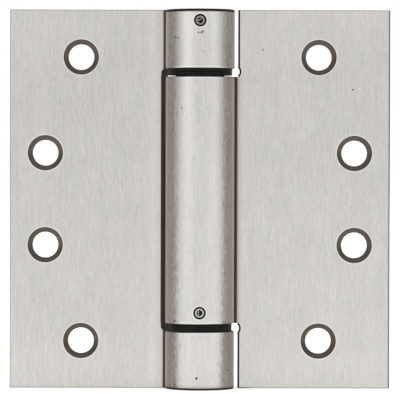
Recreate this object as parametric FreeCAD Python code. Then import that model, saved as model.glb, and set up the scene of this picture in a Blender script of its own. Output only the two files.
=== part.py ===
import FreeCAD, Part
import math
import os
from FreeCAD import Vector

# Spring loaded door hinge, full mortise, shown open flat.
# The barrel axis is Z, with its middle at the origin. The frame leaf lies towards -X, the door leaf
# towards +X, and the countersunk faces look towards -Y. Shutting the door turns the door leaf by
# half a turn about Z, past -Y. All sizes are in millimetres.

# Leaves, each one folded sheet
leaf_height = 114.3
leaf_reach = 57.4  # barrel axis to the free edge
sheet_thickness = 3.0
barrel_radius = 10.4
closed_gap = 1.6  # between the leaves' faces when the door is shut
swage_radius = 3.5  # hollow of the bend where a leaf runs into its knuckle
seam_gap = 0.6  # between the end of the curl and the leaf's face
upper_knuckle_length = 17.8
lower_knuckle_length = 17.45
mouth_gap = 1.3  # frame leaf's face to the long knuckle
knuckle_clearance = 0.3  # frame leaf's slanted edge to the long knuckle, behind that mouth
mouth_corner_round = 1.2
notch_clearance = 1.1  # straight cuts in the door leaf, beside the end knuckles
relief_radius = 1.5  # hollows in the straight cuts, near the long knuckle's ends
relief_depth = 0.45
relief_setback = 1.6  # from the long knuckle's end to the middle of a hollow
leaf_edge_round = 0.35
knuckle_end_round = 0.4

# Screw holes, two columns in each leaf
hole_radius = 3.9
countersink_radius = 5.3
countersink_angle = 82.0
outer_hole_spacing = 85.7  # the pair near the ends
outer_hole_inset = 21.5  # from the leaf's free edge
inner_hole_spacing = 27.8
inner_hole_inset = 10.7

# Washers and bushes, moulded in black plastic
washer_step = 0.7  # washers and flange inside the barrel's surface
washer_thickness = 1.0
axial_play = 0.1  # between the thrust washer and the upper bush
bush_stand = 0.3  # upper bush above the long knuckle
bush_flange_thickness = 2.25
bush_flange_round = 0.3
upper_bush_length = 8.0
lower_bush_length = 14.0
bush_wall = 1.3
running_clearance = 0.05

# Plugs, turned in steel
plug_clearance = 0.05  # plugs and bushes to a knuckle's bore
plug_recess = 0.6  # adjuster's top below the end of the barrel
arbor_length = 8.5
arbor_clearance = 0.45  # arbors to the inside of the coils
anchor_length = 10.5  # part of the anchor plug inside the long knuckle
pivot_recess = 1.2  # anchor plug's foot above the end of the barrel
plug_chamfer = 0.5
adjuster_key_flats = 5.0
adjuster_key_depth = 7.0

# Torsion spring of rectangular wire, wound left hand so that opening the door tightens its coils
spring_coils = 15
coil_gap = 0.5
wire_depth = 2.2
spring_clearance = 0.35  # coils to the knuckle's bore
tang_reach = 3.0  # past the axis
tang_clearance = 0.1  # each side of a tang in its slot
spring_end_gap = 0.3  # between a tang and the shoulder of its plug

# Set screws
set_screw_radius = 1.85
set_screw_length = 4.0
set_screw_inset = 3.5  # from the knuckle's end
set_screw_recess = 0.3  # below the crown of the barrel
set_screw_chamfer = 0.5
set_screw_flats = 1.7
set_screw_socket_depth = 1.8
thread_clearance = 0.05
tip_gap = 0.1

# Levels along the barrel, and radii that follow
half_height = leaf_height / 2
face_offset = closed_gap / 2
back_offset = face_offset + sheet_thickness
bore_radius = barrel_radius - sheet_thickness
upper_knuckle_bottom = half_height - upper_knuckle_length
upper_bush_top = upper_knuckle_bottom - 2 * washer_thickness - axial_play
long_knuckle_top = upper_bush_top - bush_stand
lower_knuckle_top = -half_height + lower_knuckle_length
long_knuckle_bottom = lower_knuckle_top + bush_flange_thickness
upper_set_screw_level = half_height - set_screw_inset
lower_set_screw_level = long_knuckle_bottom + set_screw_inset
notch_edge = barrel_radius + notch_clearance
plug_radius = bore_radius - plug_clearance
washer_radius = barrel_radius - washer_step
bush_bore_radius = plug_radius - bush_wall
journal_radius = bush_bore_radius - running_clearance
arbor_top = long_knuckle_top - upper_bush_length
anchor_shoulder = long_knuckle_bottom + anchor_length
spring_length = arbor_top - anchor_shoulder - 2 * spring_end_gap
spring_pitch = (spring_length + coil_gap) / (spring_coils + 1)
wire_width = spring_pitch - coil_gap
spring_radius = bore_radius - spring_clearance - wire_depth / 2
arbor_radius = spring_radius - wire_depth / 2 - arbor_clearance
upper_tang_level = arbor_top - spring_end_gap - wire_width / 2
lower_tang_level = anchor_shoulder + spring_end_gap + wire_width / 2
screw_tip_offset = barrel_radius - set_screw_recess - set_screw_length
seat_radius = screw_tip_offset - tip_gap  # floor of the groove or dimple under a set screw's tip
tap_radius = set_screw_radius + thread_clearance

axis_up = Vector(0, 0, 1)
to_back = Vector(0, 1, 0)
margin = 1.0  # how far a cutting tool runs past what it cuts


def cylinder(radius, bottom, top):
    return Part.makeCylinder(radius, top - bottom, Vector(0, 0, bottom), axis_up)


def ring(outer, inner, bottom, top):
    return cylinder(outer, bottom, top).cut(cylinder(inner, bottom - margin, top + margin))


def block(x_range, y_range, z_range):
    size = [high - low for low, high in (x_range, y_range, z_range)]
    return Part.makeBox(*size, Vector(x_range[0], y_range[0], z_range[0]))


def hexagon_prism(flats, depth):
    corner = flats / math.sqrt(3)
    points = [
        Vector(corner * math.cos(math.radians(60 * i)), corner * math.sin(math.radians(60 * i)), 0)
        for i in range(7)
    ]
    return Part.Face(Part.makePolygon(points)).extrude(Vector(0, 0, depth))


def edges_at(shape, test):
    """Edges of shape whose whole length passes test, judged at the ends and the middle."""
    found = []
    for edge in shape.Edges:
        first, last = edge.ParameterRange
        spots = [edge.valueAt(first + (last - first) * share) for share in (0, 0.5, 1)]
        if all(test(spot) for spot in spots):
            found.append(edge)
    return found


def near(a, b):
    return abs(a - b) < 1e-4


def leaf_section():
    """Section of the door leaf as one strip of sheet: flat, bent back, then curled round the axis."""
    bend_back = back_offset + swage_radius
    bend_reach = barrel_radius + swage_radius
    bend = Vector(math.sqrt(bend_reach**2 - bend_back**2), bend_back, 0)
    inward = bend * (-1 / bend.Length)
    curl_end = face_offset - seam_gap

    def on_bend(radius, share):
        """Point of the bend, from straight ahead at share 0 to the curl at share 1."""
        turn = share * math.acos(-inward.y)
        return bend + Vector(-math.sin(turn), -math.cos(turn), 0) * radius

    def on_curl(radius, share):
        """Point of the curl, from the bend at share 0, over the back, to the seam at share 1."""
        start = math.atan2(-inward.y, -inward.x)
        end = 2 * math.pi + math.asin(curl_end / radius)
        angle = start + (end - start) * share
        return Vector(radius * math.cos(angle), radius * math.sin(angle), 0)

    def arc(point_at, radius, from_share, to_share):
        shares = (from_share, (from_share + to_share) / 2, to_share)
        return Part.Arc(*[point_at(radius, share) for share in shares]).toShape()

    face_radius = swage_radius + sheet_thickness
    front_edge = Vector(leaf_reach, face_offset, 0)
    back_edge = Vector(leaf_reach, back_offset, 0)
    outline = [
        Part.makeLine(front_edge, on_bend(face_radius, 0)),
        arc(on_bend, face_radius, 0, 1),
        arc(on_curl, bore_radius, 0, 1),
        Part.makeLine(on_curl(bore_radius, 1), on_curl(barrel_radius, 1)),
        arc(on_curl, barrel_radius, 1, 0),
        arc(on_bend, swage_radius, 1, 0),
        Part.makeLine(on_bend(swage_radius, 0), back_edge),
        Part.makeLine(back_edge, front_edge),
    ]
    return Part.Face(Part.Wire(outline))


def folded_sheet():
    """The door leaf's strip at full height, before any cut."""
    section = leaf_section()
    section.translate(Vector(0, 0, -half_height))
    return section.extrude(Vector(0, 0, leaf_height))


def screw_hole(x, z):
    cone_height = (countersink_radius - hole_radius) / math.tan(math.radians(countersink_angle / 2))
    front = Vector(x, face_offset, z)
    cone = Part.makeCone(countersink_radius, hole_radius, cone_height, front, to_back)
    through = Part.makeCylinder(hole_radius, sheet_thickness + margin, front, to_back)
    return cone.fuse(through)


def screw_holes(side):
    """The four screw holes of a leaf. side is 1 for the door leaf and -1 for the frame leaf."""
    columns = ((outer_hole_inset, outer_hole_spacing), (inner_hole_inset, inner_hole_spacing))
    holes = []
    for inset, spacing in columns:
        for z in (-spacing / 2, spacing / 2):
            holes.append(screw_hole(side * (leaf_reach - inset), z))
    return holes


def set_screw_hole(level):
    """Tapped hole through the front of the barrel wall."""
    front = Vector(0, -barrel_radius - margin, level)
    return Part.makeCylinder(tap_radius, sheet_thickness + 2 * margin, front, to_back)


def rounded(leaf, side, knuckle_ends):
    """Rounds the rim of the leaf's face, then the outer edges of its knuckles."""
    notch = notch_edge if side > 0 else None

    def on_rim(spot):
        if not near(spot.y, face_offset):
            return False
        x = side * spot.x
        at_end = near(abs(spot.z), half_height) and x > barrel_radius
        return at_end or near(x, leaf_reach) or (notch is not None and near(x, notch))

    def on_knuckle_end(spot):
        at_end = any(near(spot.z, level) for level in knuckle_ends)
        return at_end and near(math.hypot(spot.x, spot.y), barrel_radius)

    leaf = leaf.makeFillet(leaf_edge_round, edges_at(leaf, on_rim))
    return leaf.makeFillet(knuckle_end_round, edges_at(leaf, on_knuckle_end))


def door_leaf():
    """Leaf with the long knuckle, cut square at both ends to pass the frame leaf's knuckles."""
    leaf = folded_sheet()
    across = (-barrel_radius - margin, notch_edge)
    through = (-barrel_radius - margin, barrel_radius + margin)
    tools = [
        block(across, through, (long_knuckle_top, half_height + margin)),
        block(across, through, (-half_height - margin, long_knuckle_bottom)),
    ]
    for level in (long_knuckle_top + relief_setback, long_knuckle_bottom - relief_setback):
        middle = Vector(notch_edge + relief_depth - relief_radius, face_offset - margin, level)
        depth = sheet_thickness + 2 * margin
        tools.append(Part.makeCylinder(relief_radius, depth, middle, to_back))
    leaf = leaf.cut(tools)
    leaf = rounded(leaf, 1, (long_knuckle_top, long_knuckle_bottom))
    return leaf.cut(screw_holes(1) + [set_screw_hole(lower_set_screw_level)])


def mouth_cut():
    """Cutting tool for the frame leaf: it leaves an edge that slants in behind the long knuckle."""
    mouth = Vector(-barrel_radius - mouth_gap, face_offset, 0)
    towards_axis = math.atan2(-mouth.y, -mouth.x)
    slant = towards_axis + math.asin((barrel_radius + knuckle_clearance) / mouth.Length)
    along = Vector(math.cos(slant), math.sin(slant), 0) * (2 * barrel_radius)
    front = mouth - along
    back = mouth + along
    past = barrel_radius + margin
    points = [front, back, Vector(past, back.y, 0), Vector(past, front.y, 0)]
    tool = Part.Face(Part.makePolygon(points + points[:1])).extrude(
        Vector(0, 0, upper_knuckle_bottom - lower_knuckle_top)
    )
    tool.translate(Vector(0, 0, lower_knuckle_top))
    corner_x = (mouth.x, mouth.x + mouth_corner_round)
    corner_y = (face_offset - margin, back_offset + margin)
    for level, inward in ((lower_knuckle_top, 1), (upper_knuckle_bottom, -1)):
        centre_level = level + inward * mouth_corner_round
        centre = Vector(corner_x[1], corner_y[0], centre_level)
        corner = block(corner_x, corner_y, sorted((level, centre_level)))
        rounding = Part.makeCylinder(mouth_corner_round, corner_y[1] - corner_y[0], centre, to_back)
        tool = tool.cut(corner.cut(rounding))
    return tool


def frame_leaf():
    """Leaf with the two end knuckles, cut away between them to clear the long knuckle."""
    leaf = folded_sheet().mirror(Vector(0, 0, 0), Vector(1, 0, 0))
    leaf = leaf.cut(mouth_cut())
    ends = (half_height, upper_knuckle_bottom, lower_knuckle_top, -half_height)
    leaf = rounded(leaf, -1, ends)
    return leaf.cut(screw_holes(-1) + [set_screw_hole(upper_set_screw_level)])


def turned(profile):
    """Solid of revolution about Z from (radius, level) corners."""
    points = [Vector(radius, 0, level) for radius, level in profile]
    face = Part.Face(Part.makePolygon(points + points[:1]))
    return face.revolve(Vector(0, 0, 0), axis_up, 360)


def tang_slot(bottom, top):
    """Slot across an arbor, open at one end, that takes a tang of the spring."""
    half_width = wire_depth / 2 + tang_clearance
    return block((-plug_radius, plug_radius), (-half_width, half_width), (bottom, top))


def tension_adjuster():
    """Upper plug: key socket, locking groove, journal for the long knuckle, and slotted arbor."""
    top = half_height - plug_recess
    groove_half = tap_radius + running_clearance
    groove_top = upper_set_screw_level + groove_half
    groove_bottom = upper_set_screw_level - groove_half
    foot = arbor_top - arbor_length
    plug = turned([
        (0, top),
        (plug_radius - plug_chamfer, top),
        (plug_radius, top - plug_chamfer),
        (plug_radius, groove_top),
        (seat_radius, groove_top),
        (seat_radius, groove_bottom),
        (plug_radius, groove_bottom),
        (plug_radius, upper_knuckle_bottom),
        (journal_radius, upper_knuckle_bottom),
        (journal_radius, arbor_top),
        (arbor_radius, arbor_top),
        (arbor_radius, foot + plug_chamfer),
        (arbor_radius - plug_chamfer, foot),
        (0, foot),
    ])
    socket = hexagon_prism(adjuster_key_flats, adjuster_key_depth + margin)
    socket.translate(Vector(0, 0, top - adjuster_key_depth))
    slot_top = upper_tang_level + wire_width / 2 + tang_clearance
    return plug.cut([socket, tang_slot(foot - margin, slot_top)])


def anchor_plug():
    """Lower plug: slotted arbor, body held by the lower set screw, and pivot in the lower knuckle."""
    head = anchor_shoulder + arbor_length
    foot = -half_height + pivot_recess
    plug = turned([
        (0, head),
        (arbor_radius - plug_chamfer, head),
        (arbor_radius, head - plug_chamfer),
        (arbor_radius, anchor_shoulder),
        (plug_radius, anchor_shoulder),
        (plug_radius, long_knuckle_bottom),
        (journal_radius, long_knuckle_bottom),
        (journal_radius, foot + plug_chamfer),
        (journal_radius - plug_chamfer, foot),
        (0, foot),
    ])
    dimple = Part.makeCylinder(
        tap_radius, plug_radius, Vector(0, -seat_radius - plug_radius, lower_set_screw_level), to_back
    )
    slot_bottom = lower_tang_level - wire_width / 2 - tang_clearance
    return plug.cut([dimple, tang_slot(slot_bottom, head + margin)])


def torsion_spring():
    """Left-hand coil of rectangular wire, with a tang across the axis at each end."""
    helix = Part.makeHelix(spring_pitch, spring_coils * spring_pitch, spring_radius, 0, True)
    half_depth = wire_depth / 2
    half_width = wire_width / 2
    inside = spring_radius - half_depth
    outside = spring_radius + half_depth
    points = [
        Vector(inside, 0, -half_width),
        Vector(outside, 0, -half_width),
        Vector(outside, 0, half_width),
        Vector(inside, 0, half_width),
    ]
    wire = Part.makePolygon(points + points[:1])
    coil = Part.Wire(helix.Edges).makePipeShell([wire], True, True)
    coil.translate(Vector(0, 0, lower_tang_level))
    tangs = [
        block(
            (-tang_reach, outside),
            (-half_depth, half_depth),
            (level - half_width, level + half_width),
        )
        for level in (lower_tang_level, upper_tang_level)
    ]
    return coil.fuse(tangs).removeSplitter()


def washer(level):
    return ring(washer_radius, bush_bore_radius, level, level + washer_thickness)


def upper_bush():
    """Sleeve in the top of the long knuckle, round the adjuster's journal, under the washers."""
    return ring(plug_radius, bush_bore_radius, arbor_top, upper_bush_top)


def lower_bush():
    """Flanged bush in the lower knuckle, round the anchor plug's pivot, under the door leaf."""
    return turned([
        (bush_bore_radius, long_knuckle_bottom),
        (washer_radius - bush_flange_round, long_knuckle_bottom),
        (washer_radius, long_knuckle_bottom - bush_flange_round),
        (washer_radius, lower_knuckle_top + bush_flange_round),
        (washer_radius - bush_flange_round, lower_knuckle_top),
        (plug_radius, lower_knuckle_top),
        (plug_radius, lower_knuckle_top - lower_bush_length),
        (bush_bore_radius, lower_knuckle_top - lower_bush_length),
    ])


def set_screw(level):
    """Flat-tipped socket screw along Y, with its key socket towards the front."""
    body = turned([
        (0, 0),
        (set_screw_radius - set_screw_chamfer, 0),
        (set_screw_radius, set_screw_chamfer),
        (set_screw_radius, set_screw_length - set_screw_chamfer),
        (set_screw_radius - set_screw_chamfer, set_screw_length),
        (0, set_screw_length),
    ])
    socket = hexagon_prism(set_screw_flats, set_screw_socket_depth + margin)
    socket.translate(Vector(0, 0, set_screw_length - set_screw_socket_depth))
    screw = body.cut(socket)
    screw.rotate(Vector(0, 0, 0), Vector(1, 0, 0), 90)
    screw.translate(Vector(0, -screw_tip_offset, level))
    return screw


pieces = {
    "frame_leaf": frame_leaf(),
    "door_leaf": door_leaf(),
    "tension_adjuster": tension_adjuster(),
    "anchor_plug": anchor_plug(),
    "torsion_spring": torsion_spring(),
    "upper_spacer_washer": washer(upper_knuckle_bottom - washer_thickness),
    "upper_thrust_washer": washer(upper_knuckle_bottom - 2 * washer_thickness),
    "upper_bush": upper_bush(),
    "lower_bush": lower_bush(),
    "upper_set_screw": set_screw(upper_set_screw_level),
    "lower_set_screw": set_screw(lower_set_screw_level),
}

os.makedirs("parts", exist_ok=True)
for name, shape in pieces.items():
    shape.exportStep(f"parts/{name}.step")
    print(name, "solids", len(shape.Solids), "valid", shape.isValid(), "volume", round(shape.Volume, 2))
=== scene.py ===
import math

import bmesh
import bpy
from mathutils import Matrix, Quaternion, Vector


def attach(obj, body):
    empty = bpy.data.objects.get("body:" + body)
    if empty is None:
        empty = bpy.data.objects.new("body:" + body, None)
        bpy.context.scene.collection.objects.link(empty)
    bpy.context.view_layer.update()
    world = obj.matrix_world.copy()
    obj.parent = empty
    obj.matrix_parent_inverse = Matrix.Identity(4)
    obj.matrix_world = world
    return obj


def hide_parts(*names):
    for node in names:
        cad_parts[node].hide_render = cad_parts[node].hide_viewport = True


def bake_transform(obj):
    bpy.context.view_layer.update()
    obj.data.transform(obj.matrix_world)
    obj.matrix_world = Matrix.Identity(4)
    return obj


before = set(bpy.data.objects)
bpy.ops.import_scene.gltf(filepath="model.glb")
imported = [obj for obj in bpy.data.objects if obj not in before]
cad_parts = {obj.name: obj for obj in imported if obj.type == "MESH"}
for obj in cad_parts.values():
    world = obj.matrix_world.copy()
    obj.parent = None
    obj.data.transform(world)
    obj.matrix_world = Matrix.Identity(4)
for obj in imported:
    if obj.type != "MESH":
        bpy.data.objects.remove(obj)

scene = bpy.context.scene
scene.view_settings.view_transform = "Standard"
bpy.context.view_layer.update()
mm = 0.001
print("frame:", ", ".join(sorted(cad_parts)))

# Sizes of the hinge that the finishes and pieces go by, in millimetres
hinge = {
    "halfHeight": 57.15,
    "leafReach": 57.4,
    "leafFace": 0.8,
    "upperKnuckleFoot": 39.35,
    "longKnuckle": (-37.45, 36.95),
    "lowerKnuckleTop": -39.7,
    "notchEdge": 11.5,
    "reliefs": ((10.45, 38.55), (10.45, -39.05)),  # hollows in the notches, by x and z
    "reliefRadius": 1.5,
    "mouthEdge": 11.7,  # frame leaf's face beside the long knuckle
    "mouthSlant": 61.94,  # degrees, of the frame leaf's edge behind that mouth
    "screwLevels": {"upper": 53.65, "lower": -33.95},
    "holeSpots": ((35.9, 42.85), (46.7, 13.9)),  # one of each four, by |x| and |z|
    "doorHalf": (0, 1), "frameHalf": (1, 0),  # fades over the middle, by x
}


# Shader maths: a wire is one socket, and sums on wires add Math nodes
class Wire:
    def __init__(self, shader, socket):
        self.shader = shader
        self.socket = socket

    def sum(self, operation, *values):
        return self.shader.node("Math", {"operation": operation}, dict(enumerate(values)))

    def __add__(self, other):
        return self.sum("ADD", self, other)

    def __radd__(self, other):
        return self.sum("ADD", other, self)

    def __sub__(self, other):
        return self.sum("SUBTRACT", self, other)

    def __rsub__(self, other):
        return self.sum("SUBTRACT", other, self)

    def __mul__(self, other):
        return self.sum("MULTIPLY", self, other)

    def __rmul__(self, other):
        return self.sum("MULTIPLY", other, self)

    def __pow__(self, other):
        return self.sum("POWER", self, other)

    def __abs__(self):
        return self.sum("ABSOLUTE", self)

    def least(self, other):
        return self.sum("MINIMUM", self, other)

    def most(self, other):
        return self.sum("MAXIMUM", self, other)

    def swing(self, amount):  # noise about zero
        return (self - 0.5) * amount

    def fade(self, low, high, share=None):  # 0 at low, eased to 1 or the share at high
        ends = {"Value": self, "From Min": min(low, high), "From Max": max(low, high)}
        eased = self.shader.node("MapRange", {"interpolation_type": "SMOOTHSTEP"}, ends)
        if low > high:
            eased = 1 - eased
        return eased if share is None else eased * share


class Shader:
    def __init__(self, tree):
        self.nodes = tree.nodes
        self.links = tree.links
        self.nodes.clear()

    def node(self, kind, settings=None, inputs=None, output=0):
        made = self.nodes.new("ShaderNode" + kind)
        for key, value in (settings or {}).items():
            setattr(made, key, value)
        for key, value in (inputs or {}).items():
            if isinstance(value, Wire):
                self.links.new(value.socket, made.inputs[key])
            else:
                made.inputs[key].default_value = value
        return Wire(self, made.outputs[output]) if made.outputs else None

    def split(self, vector):
        made = self.node("SeparateXYZ", None, {0: vector}).socket.node
        return [Wire(self, socket) for socket in made.outputs]

    def join(self, x, y, z):
        return self.node("CombineXYZ", None, {0: x, 1: y, 2: z})

    def place(self):  # the point in millimetres, whole and by axis
        spot = self.node("TexCoord", output="Object")
        at = self.node("VectorMath", {"operation": "SCALE"}, {0: spot, "Scale": 1 / mm})
        return [at] + self.split(at)

    def length2(self, first, second):
        return (first * first + second * second) ** 0.5

    def noise(self, place, scale, detail, roughness, offset=(0, 0, 0)):
        moved = self.node("Mapping", None, {"Vector": place, "Location": offset, "Scale": scale})
        sockets = {"Vector": moved, "Scale": 1.0, "Detail": detail, "Roughness": roughness}
        return self.node("TexNoise", None, sockets)

    def mix(self, share, first, second, blend="MIX"):
        settings = {"data_type": "RGBA", "blend_type": blend}
        return self.node("Mix", settings, {0: share, 6: first, 7: second}, output=2)

    def dim(self, tone, level):
        grey = self.node("CombineColor", None, {0: level, 1: level, 2: level})
        return self.mix(1.0, tone, grey, "MULTIPLY")

    def bump(self, height, strength, depth):
        return self.node("Bump", None, {"Strength": strength, "Distance": depth * mm, "Height": height})

    def surface(self, sockets):
        skin = self.node("BsdfPrincipled", None, sockets)
        self.node("OutputMaterial", None, {"Surface": skin})


def newFinish(name):
    finish = bpy.data.materials.new(name)
    finish.use_nodes = True
    return finish, Shader(finish.node_tree)


# In the settings of a finish, lengths are in millimetres. A fade has its two ends, and a share if it
# isn't full. Noise has its scale, detail, roughness and offset, and a bump its strength and depth.

# Satin steel of the leaves: brushed along the barrel, with a painted shade on the barrel's sides.
# Its parts come first, and the whole finish after them.

# Marks of the belt and of wear, which also give the ragged edge, flecks and mottling of the painted
# shade on the barrel's sides
grain = {
    "fine": ((4.2, 4.2, 0.3), 3.0, 0.6),
    "broad": ((1.1, 1.1, 0.05), 3.0, 0.55, (3.0, 1.0, 7.0)),
    "cloud": ((0.09, 0.09, 0.05), 3.0, 0.6, (11.0, 5.0, 2.0)),
    "blush": ((0.24, 0.24, 0.15), 2.0, 0.5, (1.0, 8.0, 4.0)),
    "ragged": ((1.3, 1.3, 0.035), 3.0, 0.7, (5.0, 2.0, 3.0)),
    "specks": ((2.2, 2.2, 0.8), 2.0, 0.6, (2.0, 6.0, 1.0)),
    "drift": ((0.3, 0.3, 0.09), 2.0, 0.5, (7.0, 4.0, 6.0)),
    "mottle": ((2.2, 2.2, 0.6), 2.0, 0.6, (4.0, 9.0, 2.0)),
    "warp": ((3.0, 3.0, 3.0), 2.0, 0.6, (9.0, 3.0, 5.0)),
}

# Brushing, as a level that the steel's tone is multiplied by. The level also holds a painted shade that
# darkens the steel towards the top, and it is a little lower on the leaves than on the barrel, lower
# still on the frame leaf, and higher towards both ends
brush = {
    "level": 0.985,
    "strokes": {"fine": 0.46, "broad": 0.14, "specks": 0.24},
    # painted shade: the steel darker towards the top, per millimetre of height
    "shadeFall": 0.0005,  # per millimetre of height
    "leaf": (12.0, 16.0), "leafDim": 0.03, "frameDim": 0.02,
    "nearEnds": (34.0, 54.0, 0.05),
    "darkSpecks": (0.66, 0.76, 0.1),
}


def brushLevel(x, z, marks):
    level = brush["level"]
    for name, amount in brush["strokes"].items():
        level = level + marks[name].swing(amount)
    # painted shade: the steel darker towards the top
    level = level - z * brush["shadeFall"]
    leafDim = brush["leafDim"] + brush["frameDim"] * x.fade(*hinge["frameHalf"])
    level = level - abs(x).fade(*brush["leaf"]) * leafDim + abs(z).fade(*brush["nearEnds"])
    return level - marks["specks"].fade(*brush["darkSpecks"])


# Sides of the barrel: a painted shade behind a ragged margin, with flecks and mottling
flanks = {
    # colours of a painted shade on the barrel's sides; the first also paints shade on the leaves beside
    # the barrel
    "shadeBrown": (0.372, 0.294, 0.252, 1.0),
    "olive": (0.35, 0.3, 0.242, 1.0), "oliveFade": (0.42, 0.58),
    "deeperShade": (0.294, 0.234, 0.196, 1.0), "deeperShadeFade": (0.6, 0.4),
    "fleck": (0.11, 0.096, 0.086, 1.0), "fleckFade": (0.6, 0.7), "fleckReach": 1.3, "fleckShare": 0.9,
    "inside": (9.75, 9.95), "outside": (10.75, 10.6),  # the shell, by distance from the axis
    "wander": {"broad": 1.4, "ragged": 2.0, "specks": 1.8}, "lean": 0.01,
    "edge": (6.0, 8.2), "marginStart": (5.6, 6.8), "marginEnd": (9.2, 7.8),  # by |x|
    # cover is how strongly the painted shade lies on the sides, less beside the seams
    "cover": 0.72, "coverLoss": 0.55, "coverLossEdge": (9.6, 10.2),  # less cover beside the seams
    "mottle": 0.6, "marginMottle": 0.8,
    "lowKnuckle": (-36.0, -40.0), "lowDim": 0.15,
}


def flankMasks(x, z, away, marks):
    shell = away.fade(*flanks["inside"]) * away.fade(*flanks["outside"])
    edge = abs(x)
    for name, reach in flanks["wander"].items():
        edge = edge + marks[name].swing(reach)
    edge = edge - z * flanks["lean"]
    side = shell * edge.fade(*flanks["edge"])
    margin = shell * edge.fade(*flanks["marginStart"]) * edge.fade(*flanks["marginEnd"])
    return shell, side, margin


def flankTone(s, tone, x, z, side, margin, marks):
    # painted shade on the barrel's sides, darker on the lower knuckle, with flecks and mottling
    flank = s.mix(marks["drift"].fade(*flanks["oliveFade"]), flanks["shadeBrown"], flanks["olive"])
    flank = s.mix(marks["ragged"].fade(*flanks["deeperShadeFade"]), flank, flanks["deeperShade"])
    flecks = marks["specks"].fade(*flanks["fleckFade"]) * (flanks["fleckReach"] - side)
    flank = s.mix(flecks * flanks["fleckShare"], flank, flanks["fleck"])
    cover = flanks["cover"] - flanks["coverLoss"] * abs(x).fade(*flanks["coverLossEdge"])
    tone = s.mix(side * cover, tone, flank)
    patchy = 1 + marks["mottle"].swing(side * flanks["mottle"] + margin * flanks["marginMottle"])
    return s.dim(tone, patchy - z.fade(*flanks["lowKnuckle"]) * side * flanks["lowDim"])


# Holes: dark countersinks, partly raw steel and partly painted shade and dark reflection, and a painted
# highlight round them and round the set screws
sinks = {
    # dark countersinks: partly raw steel, partly painted shade and dark reflection
    "wall": (5.36, 5.28), "depth": (3.79, 3.74),
    "rim": (4.96, 5.16), "throat": (4.15, 3.98, 0.8),
    # reach of a painted highlight round the holes and the set screws
    "highlightReach": (5.9, 5.5), "screwHighlightReach": (2.5, 2.15), "screwSide": (0.0, -0.5),
}


def sinkMasks(s, x, y, z, front):
    wide, high = abs(x), abs(z)
    holeAt = None
    for spotX, spotZ in hinge["holeSpots"]:
        reach = s.length2(wide - spotX, high - spotZ)
        holeAt = reach if holeAt is None else holeAt.least(reach)
    # dark countersinks and their rims: partly raw steel, partly painted shade and dark reflection
    sunk = holeAt.fade(*sinks["wall"]) * y.fade(*sinks["depth"])
    sinkRim = sunk * holeAt.fade(*sinks["rim"]).most(holeAt.fade(*sinks["throat"]))
    # painted highlight round the holes and the set screws
    highlight = holeAt.fade(*sinks["highlightReach"]) * front
    for level in hinge["screwLevels"].values():
        reach = s.length2(x, z - level)
        highlight = highlight.most(reach.fade(*sinks["screwHighlightReach"]) * y.fade(*sinks["screwSide"]))
    return sunk, sinkRim, highlight


# Edges: sheared steel, a dark line along the rims and knuckle ends that is painted shade over partly
# raw cut steel, and a painted highlight inside it
edges = {
    "frontRim": (1.45, 1.15),  # by y
    "sheared": (0.06, 0.02),
    "right": (0.5, 0.3, 0.8), "left": (0.34, 0.1, 0.5), "top": (0.3, 0.1, 0.35),
    "foot": (0.45, 0.15), "footShare": 0.35,
    # darker along the door leaf's foot, as part of the painted dark rim
    "footDarkerStart": (10.0, 11.0), "footDarkerEnd": (17.0, 13.0), "footDarkerShare": 0.65,  # door leaf's foot, by x
    # painted shade and dark reflection at the barrel's top and foot, over partly raw cut steel
    "barrelTop": (1.0, 0.65), "barrelFoot": (0.85, 0.5), "footShade": (1.8, 0.4, 0.35),
    # dark knuckle ends, and a painted highlight inside them
    "knuckleEnd": (0.3, 0.1, 0.6), "knuckleHighlight": (1.0, 0.5),
    "step": 0.1,  # height in which a line along the barrel starts or stops
    # notch rims, and a painted highlight inside them
    "doorSide": (10.9, 11.1), "notch": (0.65, 0.45), "notchHighlight": (1.3, 0.7),
    "frameSide": (-11.0, -11.2), "mouth": (-0.14, -0.08),
    "mouthTop": (1.0, -0.2), "mouthFoot": (-0.8, 0.4),  # off the long knuckle's ends
    # a painted highlight beside the frame leaf's mouth
    "mouthHighlightFrom": 17.5, "mouthHighlight": (0, 5), "mouthHighlightEnd": (-10.8, -11.2), "mouthHighlightShare": 0.35,
}


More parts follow.
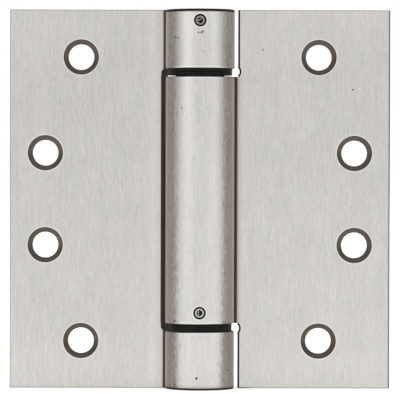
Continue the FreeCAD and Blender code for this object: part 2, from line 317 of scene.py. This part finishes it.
def edgeMasks(s, x, y, z, front, shell, side):
    longFoot, longTop = hinge["longKnuckle"]
    fromTop, fromFoot = hinge["halfHeight"] - z, hinge["halfHeight"] + z
    fromLeft, fromRight = hinge["leafReach"] + x, hinge["leafReach"] - x
    sheared = fromTop.least(fromFoot).least(fromLeft.least(fromRight)).fade(*edges["sheared"])

    # outer rims of the leaves: a dark line, partly raw cut steel and partly painted shade
    footDarker = edges["footDarkerShare"] * x.fade(*edges["footDarkerStart"]) * x.fade(*edges["footDarkerEnd"])
    cut = fromRight.fade(*edges["right"]).most(fromLeft.fade(*edges["left"]))
    cut = cut.most(fromFoot.fade(*edges["foot"]) * (edges["footShare"] + footDarker))
    cut = cut.most(fromTop.fade(*edges["top"]))

    # ends of the knuckles: darkened, partly raw cut steel and partly painted shade and dark reflection
    ends = fromTop.fade(*edges["barrelTop"]).most(fromFoot.fade(*edges["barrelFoot"]))
    ends = ends.most(fromFoot.fade(*edges["footShade"]))
    fromEnd = abs(z - longTop).least(abs(z - longFoot))
    fromEnd = fromEnd.least(abs(z - hinge["upperKnuckleFoot"])).least(abs(z - hinge["lowerKnuckleTop"]))
    ends = ends.most(fromEnd.fade(*edges["knuckleEnd"])) * shell

    # notches of the door leaf, beyond the long knuckle: a painted shade along their rims
    aboveLong = z.fade(longTop, longTop + edges["step"])
    belowLong = z.fade(longFoot, longFoot - edges["step"])
    beyondLong = aboveLong.most(belowLong) * x.fade(*edges["doorSide"])
    notch = x - hinge["notchEdge"]
    for spotX, spotZ in hinge["reliefs"]:
        notch = notch.least(s.length2(x - spotX, z - spotZ) - hinge["reliefRadius"])

    # frame leaf's mouth, beside the long knuckle: a painted shade along its rim
    mouthRim = (x + hinge["mouthEdge"]).fade(*edges["mouth"]) * x.fade(*edges["frameSide"])
    mouthRim = mouthRim * z.fade(*(longTop + off for off in edges["mouthTop"]))
    mouthRim = mouthRim * z.fade(*(longFoot + off for off in edges["mouthFoot"]))
    mouthHighlight = (x + edges["mouthHighlightFrom"]).fade(*edges["mouthHighlight"]) * x.fade(*edges["mouthHighlightEnd"])

    cut = cut.most(notch.fade(*edges["notch"]) * beyondLong).most(mouthRim) * y.fade(*edges["frontRim"])
    # painted highlight inside the knuckle ends, notches and mouth
    highlight = fromEnd.fade(*edges["knuckleHighlight"]) * shell * (1 - side)
    highlight = highlight.most(notch.fade(*edges["notchHighlight"]) * beyondLong * front)
    highlight = highlight.most(mouthHighlight * front * edges["mouthHighlightShare"])
    return sheared, cut.most(ends), highlight


# Painted shade in the crease between a leaf and its knuckle and beside the barrel, and on the frame
# leaf's slanted edge, where it lies over a partly raw cut face
grime = {
    "creaseEnd": 11.4, "creaseOnDoor": 0.25, "crease": (0, -0.6), "creaseDepth": (0.5, 0.7),
    "barrelShade": (13.2, 11.2), "barrelShadeDepth": (0.6, 0.7), "back": (1.7, 1.3),
    "lip": (0.12, 0.05), "lipOut": (10.5, 10.6), "lipDepth": (0.8, 0.9),
}


def seamShadeMasks(x, y, z, away):
    wide = abs(x)
    # painted shade in the crease between a leaf and its knuckle
    creaseEnd = grime["creaseEnd"] + grime["creaseOnDoor"] * x.fade(*hinge["doorHalf"])
    crease = (wide - creaseEnd).fade(*grime["crease"])
    crease = crease * y.fade(*grime["creaseDepth"]) * y.fade(*grime["back"])
    # painted shade on the leaves beside the barrel
    barrelShade = (wide - x.fade(*hinge["frameHalf"])).fade(*grime["barrelShade"])
    barrelShade = barrelShade * y.fade(*grime["barrelShadeDepth"]) * y.fade(*grime["back"])
    # painted shade on the frame leaf's slanted edge, over a partly raw cut face
    slant = math.radians(hinge["mouthSlant"])
    offEdge = (y - hinge["leafFace"]) * math.cos(slant) - (x + hinge["mouthEdge"]) * math.sin(slant)
    upper, lower = hinge["upperKnuckleFoot"], hinge["lowerKnuckleTop"]
    besideLong = z.fade(upper, upper - edges["step"]) * z.fade(lower, lower + edges["step"])
    lip = abs(offEdge).fade(*grime["lip"]) * away.fade(*grime["lipOut"]) * y.fade(*grime["lipDepth"])
    return crease, barrelShade, lip * besideLong


# Small dents on the front, by x and z, with their radius
pits = {
    "warp": 0.5, "fade": (1.1, 0.55),  # times the radius
    "spots": (
        (-0.52, 49.95, 0.28), (0.4, 50.07, 0.32), (0.82, 50.3, 0.28), (-7.5, 48.7, 0.2),
        (-6.6, 48.4, 0.26), (1.05, 44.4, 0.18), (-5.5, 27.4, 0.22), (-0.98, -53.65, 0.34),
        (-0.78, -53.4, 0.34), (19.0, 45.2, 0.26), (46.2, 33.1, 0.3), (-7.43, -36.5, 0.3),
        (7.34, -36.7, 0.24), (8.5, -51.2, 0.26), (-7.43, -55.4, 0.24),
    ),
}


def pitMask(s, x, z, front, warp):
    wobble = warp.swing(pits["warp"])
    dent = None
    for pitX, pitZ, radius in pits["spots"]:
        reach = s.length2(x - pitX, z - pitZ) + wobble
        reach = reach.fade(*(radius * share for share in pits["fade"]))
        dent = reach if dent is None else dent.most(reach)
    return dent * front


# The whole finish
satin = {
    "light": (0.616, 0.598, 0.572, 1.0),
    "shade": (0.576, 0.562, 0.543, 1.0),
    "rosy": (0.618, 0.58, 0.562, 1.0),
    "mossy": (0.575, 0.585, 0.545, 1.0),
    "sheared": (0.42, 0.395, 0.37, 1.0),
    # dark rims and knuckle ends: painted shade over partly raw cut steel
    "cutEdgeAndShade": (0.024, 0.02, 0.018, 1.0),
    # painted shade in the crease, and on the slanted edge over a partly raw cut face
    "grime": (0.09, 0.07, 0.059, 1.0),
    "lip": (0.33, 0.275, 0.235, 1.0),
    # dark countersinks: partly raw steel, partly painted shade and dark reflection
    "sink": (0.172, 0.141, 0.119, 1.0),
    "sinkRim": (0.07, 0.056, 0.047, 1.0),
    # a painted highlight
    "paintedHighlight": (0.86, 0.855, 0.84, 1.0),
    "pit": (0.035, 0.032, 0.03, 1.0),
    "cloudFade": (0.3, 0.7), "rosyFade": (0.45, 0.7, 0.5), "mossyFade": (0.5, 0.3, 0.4),
    "front": (1.0, 0.9),  # by y
    "sinkRimShare": 0.7, "paintedHighlightShare": 0.35,
    # painted shade on the leaves beside the barrel, as a share
    "barrelShadeShare": 0.2, "barrelShadeOnDoor": 0.22,  # and more of it on the door leaf
    "roughness": 0.33, "anisotropy": 0.45,
    "roughGrain": {"fine": 0.12, "cloud": 0.1},
    "rough": {"side": 0.06, "cut": 0.12, "sunk": 0.1, "grime": 0.2},
    "height": {"fine": 0.7, "broad": 0.3, "pit": 2.0},
    "bump": (0.25, 0.02),
}


def satinSteel():
    finish, s = newFinish("satinSteel")
    at, x, y, z = s.place()
    marks = {name: s.noise(at, *settings) for name, settings in grain.items()}
    away = s.length2(x, y)
    front = y.fade(*satin["front"])
    shell, side, margin = flankMasks(x, z, away, marks)
    sunk, sinkRim, holeHighlight = sinkMasks(s, x, y, z, front)
    sheared, cut, edgeHighlight = edgeMasks(s, x, y, z, front, shell, side)
    crease, barrelShade, lip = seamShadeMasks(x, y, z, away)
    dent = pitMask(s, x, z, front, marks["warp"])

    tone = s.mix(marks["cloud"].fade(*satin["cloudFade"]), satin["shade"], satin["light"])
    tone = s.mix(marks["blush"].fade(*satin["rosyFade"]), tone, satin["rosy"])
    tone = s.mix(marks["blush"].fade(*satin["mossyFade"]), tone, satin["mossy"])
    tone = s.dim(tone, brushLevel(x, z, marks))
    # painted shade on the barrel's sides
    tone = flankTone(s, tone, x, z, side, margin, marks)
    # painted highlight round holes, screws, knuckle ends, notches and mouth
    tone = s.mix(holeHighlight.most(edgeHighlight) * satin["paintedHighlightShare"], tone, satin["paintedHighlight"])
    # painted shade on the leaves beside the barrel, more of it on the door leaf
    barrelShade = barrelShade * (satin["barrelShadeShare"] + satin["barrelShadeOnDoor"] * x.fade(*hinge["doorHalf"]))
    tone = s.mix(barrelShade, tone, flanks["shadeBrown"])
    tone = s.mix(sheared, tone, satin["sheared"])
    # dark rims and knuckle ends: painted shade and dark reflection over partly raw cut steel
    tone = s.mix(cut, tone, satin["cutEdgeAndShade"])
    # dark countersinks: partly raw steel, partly painted shade and dark reflection
    tone = s.mix(sunk, tone, satin["sink"])
    tone = s.mix(sinkRim * satin["sinkRimShare"], tone, satin["sinkRim"])
    # painted shade in the crease, and on the frame leaf's slanted edge over a partly raw cut face
    tone = s.mix(crease, tone, satin["grime"])
    tone = s.mix(lip, tone, satin["lip"])
    tone = s.mix(dent, tone, satin["pit"])

    rough = satin["roughness"]
    for name, amount in satin["roughGrain"].items():
        rough = rough + marks[name].swing(amount)
    rougher = {"side": side, "cut": cut, "sunk": sunk, "grime": crease.most(lip)}
    for name, amount in satin["rough"].items():
        rough = rough + rougher[name] * amount
    height = marks["fine"] * satin["height"]["fine"] + marks["broad"] * satin["height"]["broad"]
    height = height - dent * satin["height"]["pit"]
    s.surface({
        "Base Color": tone, "Roughness": rough, "Metallic": 1.0,
        "Anisotropic": satin["anisotropy"], "Normal": s.bump(height, *satin["bump"]),
    })
    return finish


# Turned steel of the plugs: rings left by the lathe, and faint stains
turned = {
    "light": (0.46, 0.45, 0.435, 1.0), "shade": (0.33, 0.32, 0.305, 1.0),
    "lathe": ((5.0, 1.0, 5.0), 3.0, 0.6), "stain": ((0.35, 0.35, 0.35), 4.0, 0.6),
    "latheFade": (0.3, 0.7, 0.6), "stainFade": (0.35, 0.65, 0.4),
    "roughness": 0.34, "latheRough": 0.2, "stainRough": 0.15, "bump": (0.3, 0.03),
}


def turnedSteel():
    finish, s = newFinish("turnedSteel")
    at, x, y, z = s.place()
    lathe = s.noise(s.join(s.length2(x, y), 0.0, z), *turned["lathe"])
    stain = s.noise(at, *turned["stain"])
    share = lathe.fade(*turned["latheFade"]) + stain.fade(*turned["stainFade"])
    rough = turned["roughness"] + lathe.swing(turned["latheRough"]) + stain.swing(turned["stainRough"])
    s.surface({
        "Base Color": s.mix(share, turned["shade"], turned["light"]), "Roughness": rough,
        "Metallic": 1.0, "Normal": s.bump(lathe, *turned["bump"]),
    })
    return finish


# Oil-tempered spring wire: dark, with straw stains and lines from drawing
tempered = {
    "dark": (0.055, 0.056, 0.06, 1.0), "straw": (0.12, 0.1, 0.08, 1.0), "metallic": 0.9,
    "drawn": ((7.0, 1.0, 7.0), 2.0, 0.6), "stain": ((0.3, 0.3, 0.3), 4.0, 0.6, (4.0, 2.0, 9.0)),
    "drawnFade": (0.45, 0.8, 0.4), "stainFade": (0.4, 0.7),
    "roughness": 0.38, "drawnRough": 0.2, "stainRough": 0.15, "bump": (0.3, 0.03),
}


def springSteel():
    finish, s = newFinish("springSteel")
    at, x, y, z = s.place()
    drawn = s.noise(s.join(s.length2(x, y), 0.0, z), *tempered["drawn"])
    stain = s.noise(at, *tempered["stain"])
    tone = s.mix(stain.fade(*tempered["stainFade"]), tempered["dark"], tempered["straw"])
    tone = s.mix(drawn.fade(*tempered["drawnFade"]), tone, tempered["straw"])
    rough = tempered["roughness"] + drawn.swing(tempered["drawnRough"])
    rough = rough + stain.swing(tempered["stainRough"])
    s.surface({
        "Base Color": tone, "Roughness": rough,
        "Metallic": tempered["metallic"], "Normal": s.bump(drawn, *tempered["bump"]),
    })
    return finish


# Set screws: turned face with dark specks, a painted shade in the socket and thread, a painted glint on
# the socket's floor
screwLook = {
    "bright": (0.52, 0.5, 0.475, 1.0), "dull": (0.27, 0.255, 0.235, 1.0), "dullShare": 0.8,
    "turning": (0.3, 0.3, 0.3, 1.0), "turningFade": (0.3, 0.75, 0.25),
    "turningMarks": ((9.0, 9.0, 1.0), 2.0, 0.6),
    # a dark colour that paints shade in the socket, thread and chamfer, and also real dark specks on
    # the face
    "recessShadeAndSpeck": (0.007, 0.0065, 0.006, 1.0), "recessShadeShare": 0.95,
    "behindFace": (-10.07, -9.95), "pastFace": (1.31, 1.38),  # by y, and off the screw's axis
    "specks": ((2.4, 2.4, 2.4), 4.0, 0.65), "speckFade": (0.56, 0.68),
    "speckShare": 0.35, "speckUpper": 0.4,  # and more of them on the upper screw
    "glint": (0.75, 0.73, 0.7, 1.0), "glintWidth": (0.2, 0.05),
    "glints": {"upper": (35, 0.28), "lower": (95, 0.33)},  # turn in degrees, and place off the axis
    "floorWidth": (0.8, 0.6), "floorDepth": (-9.0, -8.5),
    "halves": (-1.0, 1.0),  # the upper screw's look is above, the lower one's below
    "roughness": 0.3, "turningRough": 0.2, "recessRough": 0.15, "bump": (0.3, 0.02),
}


def screwSteel():
    finish, s = newFinish("screwSteel")
    at, x, y, z = s.place()
    upper = z.fade(*screwLook["halves"])
    levels = hinge["screwLevels"]
    up = z - (levels["lower"] + (levels["upper"] - levels["lower"]) * upper)
    away = s.length2(x, up)
    turning = s.noise(s.join(away, y, 0.0), *screwLook["turningMarks"])
    specks = s.noise(at, *screwLook["specks"])
    deep = y.fade(*screwLook["behindFace"]).most(away.fade(*screwLook["pastFace"]))
    # a painted glint on the socket's floor
    glint = None
    for name, share in (("upper", upper), ("lower", 1 - upper)):
        degrees, off = screwLook["glints"][name]
        turn = math.radians(degrees)
        across = up * math.cos(turn) - x * math.sin(turn) - off
        band = abs(across).fade(*screwLook["glintWidth"]) * share
        glint = band if glint is None else glint + band
    glint = glint * away.fade(*screwLook["floorWidth"]) * y.fade(*screwLook["floorDepth"])
    speckled = screwLook["speckShare"] + upper * screwLook["speckUpper"]
    speckled = specks.fade(*screwLook["speckFade"]) * speckled
    tone = s.mix(upper * screwLook["dullShare"], screwLook["bright"], screwLook["dull"])
    tone = s.mix(turning.fade(*screwLook["turningFade"]), tone, screwLook["turning"])
    # painted shade in the socket, thread and chamfer, and dark specks on the face
    tone = s.mix((deep * screwLook["recessShadeShare"]).most(speckled), tone, screwLook["recessShadeAndSpeck"])
    tone = s.mix(glint, tone, screwLook["glint"])
    rough = screwLook["roughness"] + turning.swing(screwLook["turningRough"])
    rough = rough + deep * screwLook["recessRough"]
    s.surface({
        "Base Color": tone, "Roughness": rough,
        "Metallic": 1.0, "Normal": s.bump(turning, *screwLook["bump"]),
    })
    return finish


# Black plastic of the washers and bushes: faint rings from the mould, a little dust
plastic = {
    "body": (0.0045, 0.0042, 0.004, 1.0), "dust": (0.03, 0.029, 0.027, 1.0), "shine": 0.14,
    "mould": ((3.0, 1.0, 6.0), 2.0, 0.6), "specks": ((2.2, 2.2, 2.2), 4.0, 0.65),
    "mouldFade": (0.5, 0.8, 0.2), "speckFade": (0.56, 0.74, 0.6),
    "roughness": 0.4, "mouldRough": 0.12, "speckRough": 0.3,
    "mouldHeight": 0.7, "speckHeight": 0.3, "bump": (0.35, 0.04),
}


def blackPlastic():
    finish, s = newFinish("blackPlastic")
    at, x, y, z = s.place()
    mould = s.noise(s.join(s.length2(x, y), 0.0, z), *plastic["mould"])
    specks = s.noise(at, *plastic["specks"])
    dusty = specks.fade(*plastic["speckFade"]) + mould.fade(*plastic["mouldFade"])
    rough = plastic["roughness"] + specks.swing(plastic["speckRough"])
    rough = rough + mould.swing(plastic["mouldRough"])
    height = mould * plastic["mouldHeight"] + specks * plastic["speckHeight"]
    s.surface({
        "Base Color": s.mix(dusty, plastic["body"], plastic["dust"]), "Roughness": rough,
        "Specular IOR Level": plastic["shine"], "Normal": s.bump(height, *plastic["bump"]),
    })
    return finish


finishes = {
    "satin_steel": satinSteel(),
    "plug_steel": turnedSteel(),
    "spring_steel": springSteel(),
    "screw_steel": screwSteel(),
    "black_plastic": blackPlastic(),
}
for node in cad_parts.values():
    slotName = node.data.materials[0].name
    node.data.materials[0] = finishes[slotName]
print("finishes:", ", ".join(finishes))

near = 1e-4  # millimetres within which points count as one


# New pieces are drawn in millimetres, and scaled when they are done
def addPiece(name, bm, slotName, replaced, sharpAngle=30):
    bmesh.ops.remove_doubles(bm, verts=bm.verts[:], dist=near)
    bmesh.ops.recalc_face_normals(bm, faces=bm.faces[:])
    bmesh.ops.scale(bm, vec=(mm, mm, mm), verts=bm.verts[:])
    mesh = bpy.data.meshes.new(name)
    bm.to_mesh(mesh)
    bm.free()
    mesh.polygons.foreach_set("use_smooth", [True] * len(mesh.polygons))
    mesh.set_sharp_from_angle(angle=math.radians(sharpAngle))
    mesh.materials.append(finishes[slotName])
    piece = bpy.data.objects.new(name, mesh)
    scene.collection.objects.link(piece)
    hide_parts(replaced)
    print("piece:", name, len(mesh.polygons), "faces")
    return piece


# Rings of black plastic, spun from a section (by radius and height) with rounded corners
rings = {
    "steps": 96, "roundSteps": 4,
    "pieces": {
        "upperSpacerRing": {
            "node": "upper_spacer_washer", "body": "frame", "round": 0.22,
            "section": ((6.05, 38.35), (9.7, 38.35), (9.7, 39.35), (6.05, 39.35)),
        },
        "upperThrustRing": {
            "node": "upper_thrust_washer", "body": "frame", "round": 0.22,
            "section": ((6.05, 37.35), (9.7, 37.35), (9.7, 38.35), (6.05, 38.35)),
        },
        "lowerFlangedBush": {
            "node": "lower_bush", "body": "frame", "round": 0.3,
            "section": (
                (6.05, -37.45), (9.7, -37.45), (9.7, -39.7),
                (7.35, -39.7), (7.35, -53.7), (6.05, -53.7),
            ),
        },
    },
}


def spunRing(section, rounding):
    bm = bmesh.new()
    bm.faces.new([bm.verts.new((radius, 0, level)) for radius, level in section])
    bmesh.ops.bevel(
        bm, geom=bm.verts[:], offset=rounding, offset_type="OFFSET", segments=rings["roundSteps"],
        profile=0.5, affect="VERTICES", material=-1,
    )
    bmesh.ops.delete(bm, geom=bm.faces[:], context="FACES_ONLY")
    bmesh.ops.spin(
        bm, geom=bm.verts[:] + bm.edges[:], cent=(0, 0, 0), axis=(0, 0, 1),
        angle=math.tau, steps=rings["steps"], use_merge=True,
    )
    return bm


for name, ring in rings["pieces"].items():
    bm = spunRing(ring["section"], ring["round"])
    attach(addPiece(name, bm, "black_plastic", ring["node"]), ring["body"])


# Set screws: a thread spun with its own rise, ends cut and chamfered, and a key socket
setScrew = {
    "radius": 1.85, "root": 1.66, "pitch": 0.6, "steps": 48,
    "profile": ((0, "root"), (0.2, "root"), (0.45, "radius"), (0.75, "radius")),  # by share of pitch
    "spare": 2,  # turns past each end, before the ends are cut
    "weld": 1e-3, "cutNear": 1e-5,
    "length": 4.0, "tip": 6.1, "faceRadius": 1.35,
    "socketSides": 6, "socketFlats": 1.7, "socketDepth": 1.8, "drillPoint": 0.06,
    "cupRim": 0.35, "cupDepth": 0.3,
    "bodies": {"upper": "frame", "lower": "door"},
}


def edgeLoopAt(bm, level):
    return [e for e in bm.edges if e.is_boundary and all(abs(v.co.z - level) < near for v in e.verts)]


def threadedScrew():
    length, pitch, steps = setScrew["length"], setScrew["pitch"], setScrew["steps"]
    bm = bmesh.new()
    profile = []
    level = -setScrew["spare"] * pitch
    while level < length + setScrew["spare"] * pitch:
        for share, radius in setScrew["profile"]:
            profile.append(bm.verts.new((setScrew[radius], 0, level + share * pitch)))
        level += pitch
    chain = [bm.edges.new(pair) for pair in zip(profile, profile[1:])]
    bmesh.ops.spin(
        bm, geom=profile + chain, cent=(0, 0, 0), axis=(0, 0, 1), angle=math.tau,
        dvec=(0, 0, pitch / steps), steps=steps,
    )
    bmesh.ops.remove_doubles(bm, verts=bm.verts[:], dist=setScrew["weld"])
    for level, outward in ((0, -1), (length, 1)):
        bmesh.ops.bisect_plane(
            bm, geom=bm.verts[:] + bm.edges[:] + bm.faces[:], dist=setScrew["cutNear"],
            plane_co=(0, 0, level), plane_no=(0, 0, outward), clear_outer=True,
        )
    for vert in bm.verts:  # chamfers at both ends
        away = math.hypot(vert.co.x, vert.co.y)
        limit = setScrew["faceRadius"] + min(vert.co.z, length - vert.co.z)
        if away > limit:
            vert.co.x *= limit / away
            vert.co.y *= limit / away
    # cup at the tip
    cup = bmesh.ops.edgeloop_fill(bm, edges=edgeLoopAt(bm, 0))["faces"]
    bmesh.ops.inset_region(bm, faces=cup, thickness=setScrew["cupRim"], use_even_offset=True)
    hollow = bmesh.ops.poke(bm, faces=cup)["verts"]
    bmesh.ops.translate(bm, vec=(0, 0, setScrew["cupDepth"]), verts=hollow)
    # key socket
    corner = setScrew["socketFlats"] / math.sqrt(3)
    mouth = bmesh.ops.create_circle(
        bm, segments=setScrew["socketSides"], radius=corner, cap_ends=False,
        matrix=Matrix.Translation((0, 0, length)),
    )["verts"]
    inner = list({e for v in mouth for e in v.link_edges})
    outer = [e for e in edgeLoopAt(bm, length) if e not in inner]
    sunk = bmesh.ops.extrude_edge_only(bm, edges=inner)["geom"]
    floor = [v for v in sunk if isinstance(v, bmesh.types.BMVert)]
    bmesh.ops.translate(bm, vec=(0, 0, -setScrew["socketDepth"]), verts=floor)
    floorEdges = [e for e in sunk if isinstance(e, bmesh.types.BMEdge)]
    base = bmesh.ops.edgeloop_fill(bm, edges=floorEdges)["faces"]
    point = bmesh.ops.poke(bm, faces=base)["verts"]
    bmesh.ops.translate(bm, vec=(0, 0, -setScrew["drillPoint"]), verts=point)
    bmesh.ops.triangle_fill(bm, edges=outer + inner, use_beauty=True)
    return bm


toFront = Matrix.Rotation(math.radians(90), 3, "X")
for name, body in setScrew["bodies"].items():
    bm = threadedScrew()
    bmesh.ops.rotate(bm, cent=(0, 0, 0), matrix=toFront, verts=bm.verts[:])
    bmesh.ops.translate(bm, vec=(0, -setScrew["tip"], hinge["screwLevels"][name]), verts=bm.verts[:])
    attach(addPiece(name + "SetScrew", bm, "screw_steel", name + "_set_screw"), body)


# Torsion spring: wire bent in from each tang, and wound left hand between the bends
coil = {
    "radius": 5.95, "depth": 2.2, "width": 2.9875, "corner": 0.4, "cornerSteps": 3,
    "low": -25.15625, "top": 27.15625, "turns": 15, "stepsPerTurn": 40,
    "tangEnd": -3.0, "bend": 1.5, "bendSteps": 10, "sharpAngle": 40,
}


def lastFace(made):
    return [f for f in made["geom_last"] if isinstance(f, bmesh.types.BMFace)]


def pushed(bm, faces, reach):
    made = bmesh.ops.extrude_face_region(bm, geom=faces)["geom"]
    moved = [v for v in made if isinstance(v, bmesh.types.BMVert)]
    bmesh.ops.translate(bm, vec=(reach, 0, 0), verts=moved)
    return [f for f in made if isinstance(f, bmesh.types.BMFace)]


def torsionSpring():
    bend = coil["bend"]
    bendX = math.sqrt((coil["radius"] - bend) ** 2 - bend**2)
    lead = math.atan2(bend, bendX)  # the coil starts this far round from its tang
    bendAngle = math.pi / 2 + lead
    sweep = math.tau * coil["turns"] - 2 * lead
    steps = coil["turns"] * coil["stepsPerTurn"]
    down = (0, 0, -1)
    bm = bmesh.new()
    halfDepth, halfWidth = coil["depth"] / 2, coil["width"] / 2
    corners = ((-1, -1), (1, -1), (1, 1), (-1, 1))
    bm.faces.new([
        bm.verts.new((coil["tangEnd"], halfDepth * y, coil["low"] + halfWidth * z)) for y, z in corners
    ])
    bmesh.ops.bevel(
        bm, geom=bm.verts[:], offset=coil["corner"], offset_type="OFFSET", segments=coil["cornerSteps"],
        profile=0.5, affect="VERTICES", material=-1,
    )
    end = pushed(bm, bm.faces[:], bendX - coil["tangEnd"])
    end = lastFace(bmesh.ops.spin(
        bm, geom=end, cent=(bendX, -bend, 0), axis=down, angle=bendAngle, steps=coil["bendSteps"],
    ))
    end = lastFace(bmesh.ops.spin(
        bm, geom=end, cent=(0, 0, 0), axis=down, angle=sweep, steps=steps,
        dvec=(0, 0, (coil["top"] - coil["low"]) / steps),
    ))
    end = lastFace(bmesh.ops.spin(
        bm, geom=end, cent=(bendX, bend, 0), axis=down, angle=bendAngle, steps=coil["bendSteps"],
    ))
    pushed(bm, end, coil["tangEnd"] - bendX)
    return bm


bm = torsionSpring()
spring = addPiece("torsionSpring", bm, "spring_steel", "torsion_spring", coil["sharpAngle"])
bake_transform(spring)


# Camera, square to the leaves and a little above the middle, in metres and degrees
view = {
    "distance": 1.033, "height": 0.0153, "aim": (0.00006, 0.0008, -0.00026), "roll": 0.147,
    "lens": 307.9, "sensor": 36.0, "clip": (0.01, 20.0),
}
camera = bpy.data.objects.new("camera", bpy.data.cameras.new("camera"))
camera.data.lens = view["lens"]
camera.data.sensor_width = view["sensor"]
camera.data.clip_start, camera.data.clip_end = view["clip"]
camera.location = (0.0, -view["distance"], view["height"])
sight = (Vector(view["aim"]) - camera.location).to_track_quat("-Z", "Y")
camera.rotation_euler = (sight @ Quaternion((0, 0, 1), math.radians(view["roll"]))).to_euler()
scene.collection.objects.link(camera)
scene.camera = camera

# Studio: a bright tent in front, darker round the sides, white behind; the floor keeps the shadow
studio = {
    "front": 0.95, "sides": 0.16, "overhead": 0.7, "fill": 0.8,
    "frontFade": (0.02, -0.5), "backFade": (0.2, 0.6), "overheadFade": (0.5, 0.9),  # by direction
    "softLights": (  # direction as seen from the camera, in degrees to the right and up, and power
        (-41, 18, 1.1), (48, 10, 0.6),
    ),
    "lightSize": (0.7, 1.0), "lightDistance": 1.4,
    "white": (1, 1, 1, 1), "floor": (0.86, 0.86, 0.855, 1.0), "floorLift": 0.5,
    "floorReach": 4.0, "floorDrop": 0.02,  # metres, and millimetres under the hinge
}


def studioWorld():
    world = bpy.data.worlds.new("studio")
    world.use_nodes = True
    scene.world = world
    s = Shader(world.node_tree)
    y, z = s.split(s.node("TexCoord", output="Generated"))[1:]
    tent = studio["sides"] + (studio["front"] - studio["sides"]) * y.fade(*studio["frontFade"])
    around = tent + (1 - studio["sides"]) * y.fade(*studio["backFade"])
    around = around.most(studio["overhead"] * z.fade(*studio["overheadFade"]))
    seen = s.node("LightPath", output="Is Camera Ray")
    seen = seen.most(s.node("LightPath", output="Is Transmission Ray"))
    gloss = s.node("LightPath", output="Is Glossy Ray")
    level = studio["fill"] * (1 - gloss) + around * gloss
    level = level * (1 - seen) + seen
    sky = s.node("Background", None, {"Color": studio["white"], "Strength": level})
    s.node("OutputWorld", None, {"Surface": sky})


def softLight(right, rise, power):
    lamp = bpy.data.lights.new("softLight", "AREA")
    lamp.shape, lamp.energy = "RECTANGLE", power
    lamp.size, lamp.size_y = studio["lightSize"]
    light = bpy.data.objects.new("softLight", lamp)
    right, rise = math.radians(right), math.radians(rise)
    back = Vector((math.sin(right) * math.cos(rise), -math.cos(right) * math.cos(rise), math.sin(rise)))
    light.location = back * studio["lightDistance"]
    light.rotation_euler = (-back).to_track_quat("-Z", "Y").to_euler()
    scene.collection.objects.link(light)


def paleFloor():
    bm = bmesh.new()
    bmesh.ops.create_grid(bm, x_segments=1, y_segments=1, size=studio["floorReach"])
    level = -(hinge["halfHeight"] + studio["floorDrop"]) * mm
    bmesh.ops.translate(bm, vec=(0, 0, level), verts=bm.verts[:])
    mesh = bpy.data.meshes.new("paleFloor")
    bm.to_mesh(mesh)
    bm.free()
    floor = bpy.data.objects.new("paleFloor", mesh)
    scene.collection.objects.link(floor)
    finish, s = newFinish("paleFloor")
    seen = s.node("LightPath", output="Is Camera Ray").most(s.node("LightPath", output="Is Glossy Ray"))
    seen = seen.most(s.node("LightPath", output="Is Transmission Ray"))
    matt = s.node("BsdfDiffuse", None, {"Color": studio["floor"]})
    glow = s.node("Emission", None, {"Color": studio["white"], "Strength": studio["floorLift"]})
    lifted = s.node("AddShader", None, {0: matt, 1: glow})
    mixed = s.node("MixShader", None, {0: seen, 1: matt, 2: lifted})
    s.node("OutputMaterial", None, {"Surface": mixed})
    mesh.materials.append(finish)


studioWorld()
for spot in studio["softLights"]:
    softLight(*spot)
paleFloor()
print("studio and camera set")

bpy.context.view_layer.update()
